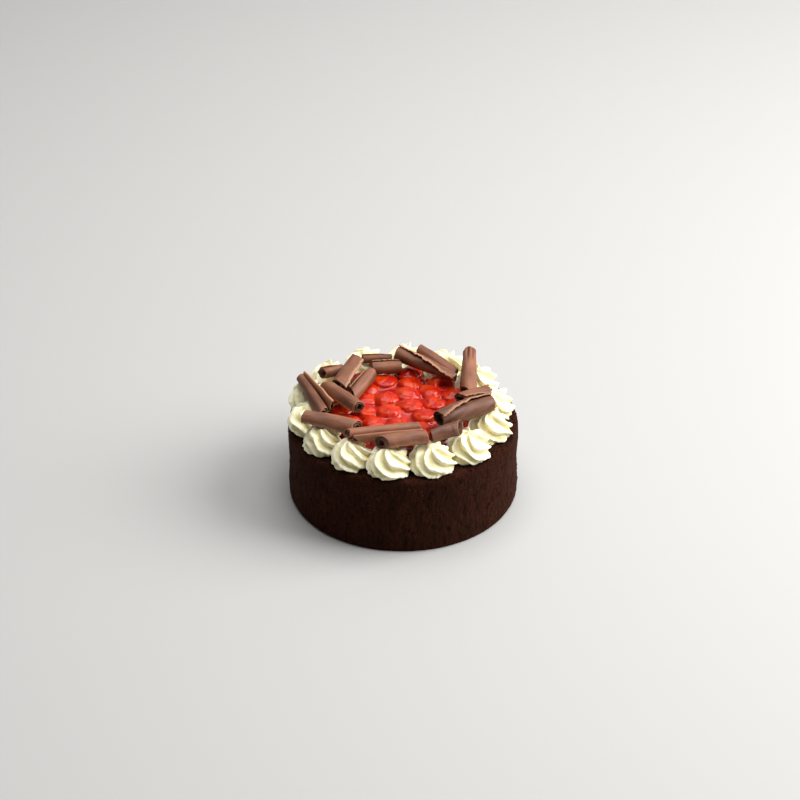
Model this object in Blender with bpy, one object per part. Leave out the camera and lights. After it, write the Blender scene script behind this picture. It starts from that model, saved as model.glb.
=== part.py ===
"""Black forest cake: a plain chocolate sponge with piped cream, cherries and chocolate curls.

Every separate piece is one closed solid and one named object:

* sponge          the uncut chocolate cake, solid
* cherry_gel      the thin domed pool of set cherry juice on its top
* cherry_NN       each cherry that lies on the gel
* rosette_NN      each piped star swirl of the cream ring
* curl_X          each rolled chocolate curl

Units are metres, +Z is up, and the cake stands on z = 0 with its axis on the Z axis.
"""

import math

import bmesh
import bpy
from mathutils import Matrix, Vector

MM = 0.001
TAU = 2.0 * math.pi

# Sponge
CAKE_RADIUS = 93.0 * MM
CAKE_HEIGHT = 65.0 * MM
SPONGE_SIDES = 36
# How far each ring of the side lies inside CAKE_RADIUS, against its share of the height.
SPONGE_PROFILE = (
    (0.000, 2.6), (0.045, 0.5), (0.180, 0.1), (0.500, 1.4),
    (0.850, 0.4), (0.945, 0.8), (0.985, 2.2), (1.000, 4.8),
)
SPONGE_WOBBLE = 0.35 * MM

# Pieces that touch keep this gap.
GAP = 0.3 * MM

# Cherry gel
GEL_RADIUS = 56.0 * MM
# The cream, the fruit and the curls sit a little to the left of the cake's middle.
TOPPING_SHIFT = Vector((-1.8 * MM, 0.0, 0.0))
GEL_EDGE = 1.8 * MM
GEL_DOME = 4.0 * MM
GEL_SIDES = 30

# Cherries
CHERRY_LENGTH = 18.6 * MM
CHERRY_WIDTH = 17.2 * MM
CHERRY_HEIGHT = 14.6 * MM
CHERRY_AROUND = 10
CHERRY_RINGS = 5
PIT_DEPTH = 0.55
PIT_ANGLE = math.radians(50.0)

# Piped rosettes
ROSETTE_COUNT = 14
ROSETTE_RADIUS = 16.6 * MM
ROSETTE_HEIGHT = 20.0 * MM
ROSETTE_RIDGES = 8
ROSETTE_SIDES = 24
ROSETTE_TWIST = math.radians(-105.0)
# Soft cream is pressed back this far from the curls that lie in it.
PRESS_GAP = 0.9 * MM
# Share of the height, share of the radius and depth of the ridges, from base to tip.
ROSETTE_PROFILE = (
    (0.00, 0.88, 0.08), (0.20, 1.00, 0.14), (0.50, 0.89, 0.18), (0.76, 0.65, 0.22), (0.93, 0.35, 0.24),
)

# Chocolate curls: a sheet rolled into a scroll, all in shares of the curl's radius.
CURL_WALL = 0.17
CURL_PITCH = 0.26
CURL_TURNS = 1.5
CURL_STEPS = 15

# Angle in degrees, distance of the centre from the axis, size and lean (mm), from the front.
ROSETTES = (
    (263.5, 74.0, 0.99, 0.4), (289.5, 74.0, 1.00, -0.3), (315.5, 74.0, 0.99, 0.3),
    (341.5, 74.0, 0.98, 0.5), (7.5, 74.0, 0.99, -0.4), (33.5, 74.0, 0.98, 0.4),
    (60.0, 74.0, 1.00, -0.4), (86.5, 74.0, 0.99, 0.5), (113.0, 74.0, 1.00, 0.3),
    (139.5, 74.0, 0.99, -0.5), (166.0, 74.0, 0.98, 0.4), (191.5, 74.0, 0.94, -0.3),
    (215.5, 74.0, 0.88, 0.3), (239.0, 74.0, 0.88, -0.3),
)

# Place (mm), turn (degrees) and size of each cherry. The last field marks the torn one.
CHERRIES = (
    (7.0, 44.5, 5, 1.02, False), (-13.0, 31.0, 35, 1.00, False), (7.0, 26.5, -10, 0.98, False),
    (29.0, 31.0, -15, 1.04, True), (-28.5, 20.0, 10, 0.96, False), (-30.0, 3.0, 0, 0.98, False),
    (-11.5, 3.0, 20, 0.98, False), (5.0, 10.0, -5, 1.00, False), (22.5, 14.5, -25, 0.99, False),
    (7.0, -7.0, -10, 1.00, False), (25.5, -3.5, -20, 0.99, False), (-27.5, -14.5, 5, 0.98, False),
    (-10.0, -15.5, 15, 1.00, False), (19.0, -21.0, 10, 0.98, False), (15.0, -38.0, 20, 0.98, False),
    (-45.0, -8.0, 0, 0.97, False), (-46.5, 9.0, 25, 0.98, False), (-30.0, 37.5, 30, 1.00, False),
    (41.5, 13.0, 20, 0.98, False), (32.5, -36.5, 30, 0.94, False), (-41.0, -26.0, -35, 0.96, False), (-21.0, -31.5, -10, 1.00, False),
    (-3.0, -33.5, 0, 1.00, False), (36.0, -19.0, 25, 0.97, False), (43.5, -4.0, 80, 0.97, False),
)

# Name, both ends of the axis (mm), radius (mm), where the free edge faces (degrees),
# flattening, taper towards the second end, and whether the sheet is rolled from both edges.
CURLS = (
    ("a", (-82.0, 24.0, 91.0), (-62.5, -20.0, 88.0), 4.2, 60, 1.35, 1.62, True),
    ("b", (-77.0, -36.0, 90.5), (-36.5, -48.0, 88.0), 5.7, 150, 1.00, 1.12, False),
    ("c", (-42.5, -63.0, 91.0), (13.0, -51.0, 89.5), 6.2, 20, 1.45, 0.98, True),
    ("d", (-17.5, -72.5, 90.2), (18.0, -66.5, 91.0), 5.6, 200, 1.00, 1.07, False),
    ("e", (21.5, -64.5, 90.0), (44.5, -54.0, 92.0), 5.4, 40, 1.00, 1.12, False),
    ("f", (31.0, -41.5, 91.5), (71.0, -21.5, 93.5), 7.2, 110, 1.00, 0.95, False),
    ("g", (44.0, -9.5, 89.0), (70.0, 2.0, 90.0), 5.8, 70, 0.70, 1.00, False),
    ("h", (51.5, 5.0, 87.5), (54.0, 52.0, 95.5), 6.2, 80, 1.00, 0.92, False),
    ("i", (-5.5, 52.0, 94.0), (42.0, 19.5, 90.5), 6.5, 100, 1.00, 0.45, False),
    ("j", (12.5, 63.5, 91.0), (41.5, 38.5, 88.5), 5.1, 120, 1.00, 0.96, False),
    ("k", (-33.5, 55.5, 86.5), (-9.0, 55.5, 86.5), 3.8, 45, 1.00, 1.00, False),
    ("l", (-36.0, 46.5, 93.5), (-51.5, 11.0, 90.0), 6.3, 200, 1.15, 1.12, True),
    ("m", (-25.0, 37.5, 88.5), (-3.5, 40.0, 88.5), 5.5, 60, 1.00, 1.00, False),
    ("n", (-24.5, 28.0, 91.5), (-38.5, -2.0, 90.0), 5.6, 250, 1.00, 1.00, False),
    ("o", (-61.0, 5.5, 91.5), (-34.5, -23.0, 90.0), 5.8, 30, 1.00, 1.00, False),
    ("p", (-65.0, 30.0, 88.5), (-51.5, 35.0, 88.0), 4.6, 90, 1.00, 1.00, False),
)

SPONGE_COLOUR = (0.030, 0.011, 0.006, 1.0)
CREAM_COLOUR = (0.800, 0.770, 0.590, 1.0)
GEL_COLOUR = (0.350, 0.004, 0.006, 1.0)
CHERRY_COLOUR = (0.680, 0.030, 0.012, 1.0)
CHOCOLATE_COLOUR = (0.150, 0.055, 0.036, 1.0)


def clear_scene():
    """Remove whatever the file holds."""
    for obj in list(bpy.data.objects):
        bpy.data.objects.remove(obj, do_unlink=True)


def make_material(name, colour, roughness):
    """Return a plain Principled material."""
    material = bpy.data.materials.new(name)
    material.use_nodes = True
    shader = material.node_tree.nodes["Principled BSDF"]
    shader.inputs["Base Color"].default_value = colour
    shader.inputs["Roughness"].default_value = roughness
    shader.inputs["Metallic"].default_value = 0.0
    return material


def add_object(name, bm, material):
    """Put a closed bmesh in the scene as one named object whose faces look outward."""
    bmesh.ops.recalc_face_normals(bm, faces=bm.faces)
    mesh = bpy.data.meshes.new(name)
    bm.to_mesh(mesh)
    bm.free()
    mesh.materials.append(material)
    obj = bpy.data.objects.new(name, mesh)
    bpy.context.scene.collection.objects.link(obj)
    return obj


def loft(bm, rings, start_tip=None, end_tip=None):
    """Join rings of points into a closed skin; each end is one flat face or comes to a tip."""
    loops = [[bm.verts.new(point) for point in ring] for ring in rings]
    for lower, upper in zip(loops, loops[1:]):
        for i, vert in enumerate(lower):
            j = (i + 1) % len(lower)
            bm.faces.new((vert, lower[j], upper[j], upper[i]))
    close_end(bm, loops[0], start_tip)
    close_end(bm, loops[-1], end_tip)


def close_end(bm, loop, tip):
    """Close a loop with one face, or with a fan of triangles to a tip."""
    if tip is None:
        bm.faces.new(loop)
        return
    centre = bm.verts.new(tip)
    for i, vert in enumerate(loop):
        bm.faces.new((vert, loop[(i + 1) % len(loop)], centre))


# ---------------------------------------------------------------- sponge

def build_sponge(material):
    """The solid cake: a slightly waisted, uneven drum with a soft top edge."""
    bm = bmesh.new()
    rings = []
    for share, inset in SPONGE_PROFILE:
        ring = []
        for i in range(SPONGE_SIDES):
            angle = TAU * i / SPONGE_SIDES
            wobble = SPONGE_WOBBLE * math.sin(3.0 * angle + 4.0 * share)
            radius = CAKE_RADIUS - inset * MM - SPONGE_WOBBLE + wobble
            ring.append(Vector((radius * math.cos(angle), radius * math.sin(angle), share * CAKE_HEIGHT)))
        rings.append(ring)
    loft(bm, rings)
    add_object("sponge", bm, material)


# ---------------------------------------------------------------- cherries and gel

def gel_top(radius):
    """Height of the domed gel at a distance from the cake's axis."""
    dome = max(0.0, 1.0 - (radius / GEL_RADIUS) ** 2)
    return CAKE_HEIGHT + GAP + GEL_EDGE + GEL_DOME * dome


def build_gel(material):
    """The gel pool, with an outline that runs a little in and out between the rosettes."""
    bm = bmesh.new()
    rings = []
    for share in (1.0, 0.985, 0.80, 0.55, 0.30):
        ring = []
        for i in range(GEL_SIDES):
            angle = TAU * i / GEL_SIDES
            edge = GEL_RADIUS - 0.8 * MM * (1.0 - math.cos(ROSETTE_COUNT * (angle - 0.05))) * share
            radius = edge * share
            height = CAKE_HEIGHT + GAP if share == 1.0 else gel_top(radius)
            ring.append(TOPPING_SHIFT + Vector((radius * math.cos(angle), radius * math.sin(angle), height)))
        rings.append(ring)
    loft(bm, rings, end_tip=TOPPING_SHIFT + Vector((0.0, 0.0, gel_top(0.0))))
    add_object("cherry_gel", bm, material)


def cherry_radius(direction, torn):
    """Distance from the centre to the skin: one, or less inside the hole of a torn cherry."""
    if not torn:
        return 1.0
    pit_axis = Vector((0.15, -0.55, 0.82))
    angle = direction.angle(pit_axis)
    if angle >= PIT_ANGLE:
        return 1.0
    return 1.0 - PIT_DEPTH * 0.5 * (1.0 + math.cos(math.pi * angle / PIT_ANGLE))


def build_cherry(number, x, y, turn, size, torn, material):
    """One cherry, an uneven ellipsoid that rests on the gel."""
    half = Vector((CHERRY_LENGTH, CHERRY_WIDTH, CHERRY_HEIGHT)) * (0.5 * size)
    place = Vector((x * MM, y * MM, 0.0))
    place.z = gel_top(max(0.0, place.length - 0.25 * half.x)) + GAP + half.z
    place += TOPPING_SHIFT
    rotate = Matrix.Rotation(math.radians(turn), 3, "Z")

    def skin(direction):
        reach = cherry_radius(rotate @ direction, torn)
        point = Vector((direction.x * half.x, direction.y * half.y, direction.z * half.z)) * reach
        return rotate @ point + place

    rings = []
    for k in range(1, CHERRY_RINGS):
        slope = math.pi * k / CHERRY_RINGS - 0.5 * math.pi
        ring = []
        for i in range(CHERRY_AROUND):
            angle = TAU * i / CHERRY_AROUND
            level = math.cos(slope)
            ring.append(skin(Vector((level * math.cos(angle), level * math.sin(angle), math.sin(slope)))))
        rings.append(ring)
    bm = bmesh.new()
    loft(bm, rings, skin(Vector((0.0, 0.0, -1.0))), skin(Vector((0.0, 0.0, 1.0))))
    add_object(f"cherry_{number:02d}", bm, material)


# ---------------------------------------------------------------- cream rosettes

def pressed(point):
    """Move a point of soft cream clear of every curl that lies on it."""
    for row in CURLS:
        start, end = Vector(row[1]) * MM, Vector(row[2]) * MM
        radius, taper = row[3] * MM, row[6]
        along = end - start
        share = min(1.05, max(-0.05, (point - start).dot(along) / along.length_squared))
        offset = point - (start + along * share)
        clear = radius * (1.0 + (taper - 1.0) * share) + PRESS_GAP
        if offset.length < clear:
            point = start + along * share + offset.normalized() * clear
    return point


def build_rosette(number, angle, distance, size, lean, material):
    """One star swirl: eight ridges that wind up from a scalloped foot to a tip."""
    turn = math.radians(angle)
    outward = Vector((math.cos(turn), math.sin(turn), 0.0))
    along = Vector((-outward.y, outward.x, 0.0))
    foot = TOPPING_SHIFT + outward * (distance * MM) + Vector((0.0, 0.0, CAKE_HEIGHT + GAP))
    height = ROSETTE_HEIGHT * (0.85 + 0.15 * size)
    rings = []
    for rise, reach, depth in ROSETTE_PROFILE:
        ring = []
        for i in range(ROSETTE_SIDES):
            phase = TAU * i / ROSETTE_SIDES + ROSETTE_TWIST * rise + turn
            ridge = 1.0 - depth * (0.5 - 0.5 * math.cos(TAU * i * ROSETTE_RIDGES / ROSETTE_SIDES))
            radius = ROSETTE_RADIUS * size * reach * ridge
            point = foot + Vector((radius * math.cos(phase), radius * math.sin(phase), rise * height))
            ring.append(pressed(point + along * (lean * MM * rise)))
        rings.append(ring)
    tip = pressed(foot + Vector((0.0, 0.0, height)) + along * (lean * MM))
    bm = bmesh.new()
    loft(bm, rings, end_tip=tip)
    add_object(f"rosette_{number:02d}", bm, material)


# ---------------------------------------------------------------- chocolate curls

def scroll_path(steps):
    """Middle line of a sheet rolled from one edge, as (x, y) in shares of the radius."""
    path = []
    for i in range(steps + 1):
        turned = CURL_TURNS * i / steps
        radius = 1.06 - 0.5 * CURL_WALL - CURL_PITCH * turned
        path.append(Vector((radius * math.cos(TAU * turned), radius * math.sin(TAU * turned))))
    return path


def double_path(steps):
    """Middle line of a sheet rolled from both edges, with a seam between the two rolls."""
    roll = 0.52
    half = []
    for i in range(steps // 2 + 1):
        turned = i / (steps // 2)
        radius = roll - 0.5 * CURL_WALL - 0.06 * turned
        angle = TAU * (-0.25 + 0.95 * turned)
        half.append(Vector((roll - 0.04 + radius * math.cos(angle), radius * math.sin(angle))))
    mirrored = [Vector((-point.x, point.y)) for point in reversed(half)]
    return mirrored + half


def thicken(path, wall):
    """Outline of a strip of even thickness about a middle line."""
    left, right = [], []
    for i, point in enumerate(path):
        ahead = path[min(i + 1, len(path) - 1)] - path[max(i - 1, 0)]
        normal = Vector((-ahead.y, ahead.x)).normalized() * (0.5 * wall)
        left.append(point + normal)
        right.append(point - normal)
    return left + right[::-1]


def build_curl(name, start, end, radius, turn, flat, taper, double, material):
    """One curl: the scroll's section drawn out between its two ends."""
    start, end = Vector(start) * MM, Vector(end) * MM
    axis = (end - start).normalized()
    side = axis.cross(Vector((0.0, 0.0, 1.0))).normalized()
    up = side.cross(axis)
    section = thicken(double_path(CURL_STEPS), CURL_WALL * 0.8) if double else None
    section = section or thicken(scroll_path(CURL_STEPS), CURL_WALL)
    spin = 0.0 if double else math.radians(turn)
    rings = []
    for centre, size in ((start, radius * MM), (end, radius * MM * taper)):
        ring = []
        for point in section:
            x = point.x * math.cos(spin) - point.y * math.sin(spin)
            y = point.x * math.sin(spin) + point.y * math.cos(spin)
            ring.append(centre + side * (x * size) + up * (y * size * flat))
        rings.append(ring)
    bm = bmesh.new()
    loft(bm, rings)
    add_object(f"curl_{name}", bm, material)


def main():
    """Build the cake, piece by piece."""
    clear_scene()
    sponge = make_material("chocolate_sponge", SPONGE_COLOUR, 0.95)
    cream = make_material("whipped_cream", CREAM_COLOUR, 0.55)
    gel = make_material("cherry_gel", GEL_COLOUR, 0.10)
    cherry = make_material("cherry_skin", CHERRY_COLOUR, 0.15)
    chocolate = make_material("milk_chocolate", CHOCOLATE_COLOUR, 0.45)
    build_sponge(sponge)
    build_gel(gel)
    for number, row in enumerate(CHERRIES, start=1):
        build_cherry(number, *row, cherry)
    for number, row in enumerate(ROSETTES, start=1):
        build_rosette(number, *row, cream)
    for row in CURLS:
        build_curl(*row, chocolate)


main()
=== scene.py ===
"""Looks of a black forest cake: crumb, piped cream, glossy cherries in set juice and chocolate curls.

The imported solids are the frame. Every visible solid is replaced by a finely modelled piece that
takes its place and size from its node. Sizes are metres unless a comment says millimetres.
"""

import logging
import math
import random
from dataclasses import dataclass, field
from enum import Enum
from typing import ClassVar, Iterable, Optional

import bmesh
import bpy
import numpy as np
from mathutils import Matrix, Vector, noise


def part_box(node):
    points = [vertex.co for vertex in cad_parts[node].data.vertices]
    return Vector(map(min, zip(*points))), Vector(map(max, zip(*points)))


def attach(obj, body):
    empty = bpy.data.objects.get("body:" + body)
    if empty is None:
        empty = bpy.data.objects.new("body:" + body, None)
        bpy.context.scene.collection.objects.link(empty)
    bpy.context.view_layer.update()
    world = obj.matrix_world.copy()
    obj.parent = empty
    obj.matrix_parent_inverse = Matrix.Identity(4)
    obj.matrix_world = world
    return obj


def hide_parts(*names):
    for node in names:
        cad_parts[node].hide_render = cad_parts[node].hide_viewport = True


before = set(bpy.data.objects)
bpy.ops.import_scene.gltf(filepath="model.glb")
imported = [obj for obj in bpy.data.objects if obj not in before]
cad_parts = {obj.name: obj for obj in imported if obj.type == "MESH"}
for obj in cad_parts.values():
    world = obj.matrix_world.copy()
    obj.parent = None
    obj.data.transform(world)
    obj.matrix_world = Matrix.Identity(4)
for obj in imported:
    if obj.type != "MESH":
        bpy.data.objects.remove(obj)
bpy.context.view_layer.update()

LOG = logging.getLogger("black_forest_cake")
Colour = tuple[float, float, float, float]
Triple = tuple[float, float, float]
Pair = tuple[float, float]
Socket = bpy.types.NodeSocket
TAU = 2.0 * math.pi
MM = 0.001
WELD = 0.02 * MM


# ------------------------------------------------------------------ small maths


def smooth_step(low: float, high: float, value: float) -> float:
    """Rise smoothly from 0 at low to 1 at high.

    Args:
        low: Value where the step starts.
        high: Value where it ends.
        value: Where to read it.

    Returns:
        A share from 0 to 1.
    """
    share = min(1.0, max(0.0, (value - low) / (high - low)))
    return share * share * (3.0 - 2.0 * share)


def wave(point: Vector, size: float, seed: float = 0.0) -> float:
    """Read smooth noise of a given grain size.

    Args:
        point: Place in metres.
        size: Grain size in metres.
        seed: Shifts the pattern, so that no two uses match.

    Returns:
        A value between about -1 and 1.
    """
    shift = Vector((seed * 17.31, seed * 9.73, seed * 5.19))
    return noise.noise(point / size + shift)


def along_curve(points: tuple[Pair, ...], share: float) -> Pair:
    """Read a smooth curve through evenly spaced points.

    Args:
        points: The points the curve passes through.
        share: Place on the curve, 0 at the first point and 1 at the last.

    Returns:
        The two coordinates there.
    """
    spans = len(points) - 1
    place = min(max(share, 0.0), 1.0) * spans
    index = min(int(place), spans - 1)
    t = place - index
    four = [points[min(max(index + k, 0), spans)] for k in (-1, 0, 1, 2)]
    result = []
    for p0, p1, p2, p3 in zip(*four):
        result.append(
            0.5
            * (
                2.0 * p1
                + (p2 - p0) * t
                + (2.0 * p0 - 5.0 * p1 + 4.0 * p2 - p3) * t**2
                + (3.0 * p1 - p0 - 3.0 * p2 + p3) * t**3
            )
        )
    return result[0], result[1]


# ------------------------------------------------------------------ finishes


class Shader:
    """One finish's node tree, with short calls for the nodes it needs."""

    MIX_FIRST, MIX_SECOND, MIX_RESULT = 6, 7, 2

    def __init__(self, name: str) -> None:
        """Start a material.

        Args:
            name: Name of the material.
        """
        self.material = bpy.data.materials.new(name)
        self.material.use_nodes = True
        self.tree = self.material.node_tree
        self.surface = self.tree.nodes["Principled BSDF"]
        self.place = self.node("ShaderNodeTexCoord").outputs["Object"]

    def node(self, kind: str, **settings: object) -> bpy.types.Node:
        """Add a node.

        Args:
            kind: Blender's name for the node type.
            settings: Properties to set on it.

        Returns:
            The new node.
        """
        made = self.tree.nodes.new(kind)
        for key, value in settings.items():
            setattr(made, key, value)
        return made

    def feed(self, socket: Socket, value: object) -> None:
        """Link a socket to another, or give it a plain value.

        Args:
            socket: Input to fill.
            value: An output socket, a number or a colour.
        """
        if isinstance(value, Socket):
            self.tree.links.new(value, socket)
        else:
            socket.default_value = value

    def set(self, **values: object) -> None:
        """Fill the surface's inputs; underscores in a name stand for spaces.

        Args:
            values: Input name and the value or output for it.
        """
        for name, value in values.items():
            self.feed(self.surface.inputs[name.replace("_", " ")], value)

    def attribute(self, name: str, output: str = "Fac") -> Socket:
        """Read a value that the mesh carries.

        Args:
            name: Name of the attribute.
            output: "Fac" for a number, "Vector" for a vector.

        Returns:
            The output socket.
        """
        return self.node("ShaderNodeAttribute", attribute_name=name).outputs[output]

    def stretch(self, source: Socket, scale: Triple) -> Socket:
        """Scale a pattern's coordinates.

        Args:
            source: Coordinates to scale.
            scale: Factor for each axis.

        Returns:
            The scaled coordinates.
        """
        mapping = self.node("ShaderNodeMapping")
        self.feed(mapping.inputs["Vector"], source)
        mapping.inputs["Scale"].default_value = scale
        return mapping.outputs["Vector"]

    def grain(
        self, size: float, detail: float = 4.0, source: Optional[Socket] = None, rough: float = 0.55,
    ) -> Socket:
        """Smooth noise of a given grain size in metres.

        Args:
            size: Grain size.
            detail: Number of finer octaves.
            source: Coordinates, or the object's own when left out.
            rough: How much the finer octaves count.

        Returns:
            The noise value.
        """
        made = self.node("ShaderNodeTexNoise")
        self.feed(made.inputs["Vector"], source or self.place)
        made.inputs["Scale"].default_value = 1.0 / size
        made.inputs["Detail"].default_value = detail
        made.inputs["Roughness"].default_value = rough
        return made.outputs["Fac"]

    def cells(self, size: float, source: Optional[Socket] = None) -> Socket:
        """Distance to the nearest of many scattered points, for crumbs and pores.

        Args:
            size: Distance between the points in metres.
            source: Coordinates, or the object's own when left out.

        Returns:
            The distance value.
        """
        made = self.node("ShaderNodeTexVoronoi")
        self.feed(made.inputs["Vector"], source or self.place)
        made.inputs["Scale"].default_value = 1.0 / size
        return made.outputs["Distance"]

    def spread(
        self, source: Socket, low: float, high: float, to_low: float = 0.0, to_high: float = 1.0,
    ) -> Socket:
        """Stretch a range of values to another, and clamp it.

        Args:
            source: Value to stretch.
            low: Value that becomes to_low.
            high: Value that becomes to_high.
            to_low: Result at low.
            to_high: Result at high.

        Returns:
            The new value.
        """
        made = self.node("ShaderNodeMapRange")
        self.feed(made.inputs["Value"], source)
        ends = (("From Min", low), ("From Max", high), ("To Min", to_low), ("To Max", to_high))
        for name, value in ends:
            made.inputs[name].default_value = value
        return made.outputs["Result"]

    def sum(self, first: object, second: object, operation: str = "ADD") -> Socket:
        """Join two values by a sum or another operation.

        Args:
            first: Value or output.
            second: Value or output.
            operation: Blender's name for the operation.

        Returns:
            The result.
        """
        made = self.node("ShaderNodeMath", operation=operation)
        self.feed(made.inputs[0], first)
        self.feed(made.inputs[1], second)
        return made.outputs[0]

    def blend(self, share: Socket, first: object, second: object) -> Socket:
        """Mix two colours.

        Args:
            share: How much of the second colour shows.
            first: Colour or output.
            second: Colour or output.

        Returns:
            The mixed colour.
        """
        made = self.node("ShaderNodeMix", data_type="RGBA")
        self.feed(made.inputs["Factor"], share)
        self.feed(made.inputs[self.MIX_FIRST], first)
        self.feed(made.inputs[self.MIX_SECOND], second)
        return made.outputs[self.MIX_RESULT]

    def relief(self, height: Socket, depth: float, under: Optional[Socket] = None) -> Socket:
        """Turn a height pattern into relief that is too fine to model.

        Args:
            height: The pattern, from 0 to 1.
            depth: Its height in metres.
            under: Relief that this one lies on.

        Returns:
            The normal for the surface.
        """
        made = self.node("ShaderNodeBump")
        made.inputs["Strength"].default_value = 1.0
        made.inputs["Distance"].default_value = depth
        self.feed(made.inputs["Height"], height)
        if under is not None:
            self.feed(made.inputs["Normal"], under)
        return made.outputs["Normal"]


@dataclass(frozen=True)
class ChocolateCrumb:
    """Matt, open chocolate crumb: nearly black in its pores, reddish brown on its crumbs."""

    name: str = "chocolate_crumb"
    pore: Colour = (0.0040, 0.0012, 0.0006, 1.0)
    crumb: Colour = (0.0330, 0.0085, 0.0036, 1.0)
    # Colour of light crumbs, partly their own and partly painted glints of lit crumbs.
    fleck_and_glint: Colour = (0.1300, 0.0330, 0.0150, 1.0)
    lustre: Colour = (0.95, 0.36, 0.20, 1.0)
    crumb_size: float = 2.2 * MM
    streak_size: float = 3.2 * MM
    patch_size: float = 19.0 * MM
    fleck_size: float = 1.0 * MM
    pore_size: float = 1.4 * MM
    crumb_stretch: Triple = (1.0, 1.0, 0.40)
    streak_stretch: Triple = (1.0, 1.0, 0.16)
    crumb_depth: float = 0.5 * MM
    streak_depth: float = 0.7 * MM
    pore_depth: float = 0.12 * MM

    def material(self) -> bpy.types.Material:
        """Set up the finish.

        Returns:
            The material.
        """
        shader = Shader(self.name)
        upright = shader.stretch(shader.place, self.crumb_stretch)
        drawn = shader.stretch(shader.place, self.streak_stretch)
        crumbs = shader.grain(self.crumb_size, 5.0, upright, 0.60)
        streaks = shader.grain(self.streak_size, 3.0, drawn, 0.55)
        patches = shader.spread(shader.grain(self.patch_size, 3.0), 0.38, 0.62)
        flecks = shader.spread(shader.grain(self.fleck_size, 2.0), 0.60, 0.74)
        mix = shader.sum(
            shader.spread(crumbs, 0.34, 0.66, 0.0, 0.50), shader.spread(streaks, 0.34, 0.66, 0.10, 0.40),
        )
        base = shader.blend(mix, self.pore, self.crumb)
        # Light flecks at random, partly the crumb's own colour and partly painted glints of lit crumbs.
        base = shader.blend(shader.sum(flecks, patches, "MULTIPLY"), base, self.fleck_and_glint)
        pores = shader.spread(shader.cells(self.pore_size, upright), 0.05, 0.55)
        broad = shader.relief(streaks, self.streak_depth)
        coarse = shader.relief(crumbs, self.crumb_depth, broad)
        fine = shader.relief(pores, self.pore_depth, coarse)
        shader.set(
            Base_Color=base,
            Roughness=0.92,
            Specular_IOR_Level=0.06,
            Sheen_Weight=0.03,
            Sheen_Roughness=0.55,
            Sheen_Tint=self.lustre,
            Normal=fine,
        )
        return shader.material


@dataclass(frozen=True)
class PipedCream:
    """Smooth whipped cream, whiter on its ridges as painted light and darker straw yellow in its folds as
    painted shade.
    """

    name: str = "piped_cream"
    # Crest colour, whiter than the cream itself: painted light.
    ridge: Colour = (0.935, 0.902, 0.700, 1.0)
    # Colour deep in the folds, darker and yellower: painted shade.
    fold_shade: Colour = (0.840, 0.755, 0.400, 1.0)
    mottle_size: float = 7.0 * MM
    skin_size: float = 1.1 * MM
    skin_depth: float = 0.12 * MM
    bubble_size: float = 0.8 * MM
    bubble_depth: float = 0.03 * MM
    scatter: Triple = (1.0, 0.85, 0.55)

    def material(self) -> bpy.types.Material:
        """Set up the finish.

        Returns:
            The material.
        """
        shader = Shader(self.name)
        # Painted light and shade: a value from the mesh, high deep in the folds, blends the whiter crest
        # colour into the darker fold colour; the mottling is random.
        fold_shade = shader.attribute("fold_shade")
        mottle = shader.spread(shader.grain(self.mottle_size, 3.0), 0.35, 0.70, 0.0, 0.25)
        base = shader.blend(shader.sum(fold_shade, mottle), self.ridge, self.fold_shade)
        bubbles = shader.spread(shader.cells(self.bubble_size), 0.0, 0.25)
        skin = shader.relief(shader.grain(self.skin_size, 4.0), self.skin_depth)
        pitted = shader.relief(bubbles, self.bubble_depth, skin)
        shader.set(
            Base_Color=base,
            Roughness=0.48,
            Specular_IOR_Level=0.40,
            Subsurface_Weight=0.30,
            Subsurface_Radius=self.scatter,
            Subsurface_Scale=0.0025,
            Normal=pitted,
        )
        return shader.material


@dataclass(frozen=True)
class CherryFlesh:
    """Stewed cherry: red to orange red, soft and wet under a clear coat of juice."""

    name: str = "cherry_flesh"
    deep: Colour = (0.380, 0.005, 0.002, 1.0)
    bright: Colour = (0.520, 0.030, 0.001, 1.0)
    # Colour deep in the torn pit: painted shade.
    hollow_shade: Colour = (0.300, 0.008, 0.012, 1.0)
    patch_size: float = 9.0 * MM
    vein_size: float = 5.0 * MM
    dimple_depth: float = 0.25 * MM
    scatter: Triple = (1.0, 0.20, 0.10)

    def material(self) -> bpy.types.Material:
        """Set up the finish.

        Returns:
            The material.
        """
        shader = Shader(self.name)
        patches = shader.spread(shader.grain(self.patch_size, 3.0), 0.36, 0.62)
        veins = shader.spread(shader.grain(self.vein_size, 3.0), 0.50, 0.80, 0.0, 0.40)
        base = shader.blend(patches, self.deep, self.bright)
        base = shader.blend(veins, base, self.deep)
        # Painted shade: darker red deep inside the torn cherry's pit.
        base = shader.blend(shader.attribute("hollow_shade"), base, self.hollow_shade)
        dimples = shader.relief(shader.grain(self.vein_size, 2.0), self.dimple_depth)
        shader.set(
            Base_Color=base,
            Roughness=0.30,
            Subsurface_Weight=0.35,
            Subsurface_Radius=self.scatter,
            Subsurface_Scale=0.004,
            Specular_IOR_Level=0.06,
            Coat_Weight=0.55,
            Coat_Roughness=0.14,
            Coat_IOR=1.42,
            Normal=dimples,
        )
        return shader.material


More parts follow.
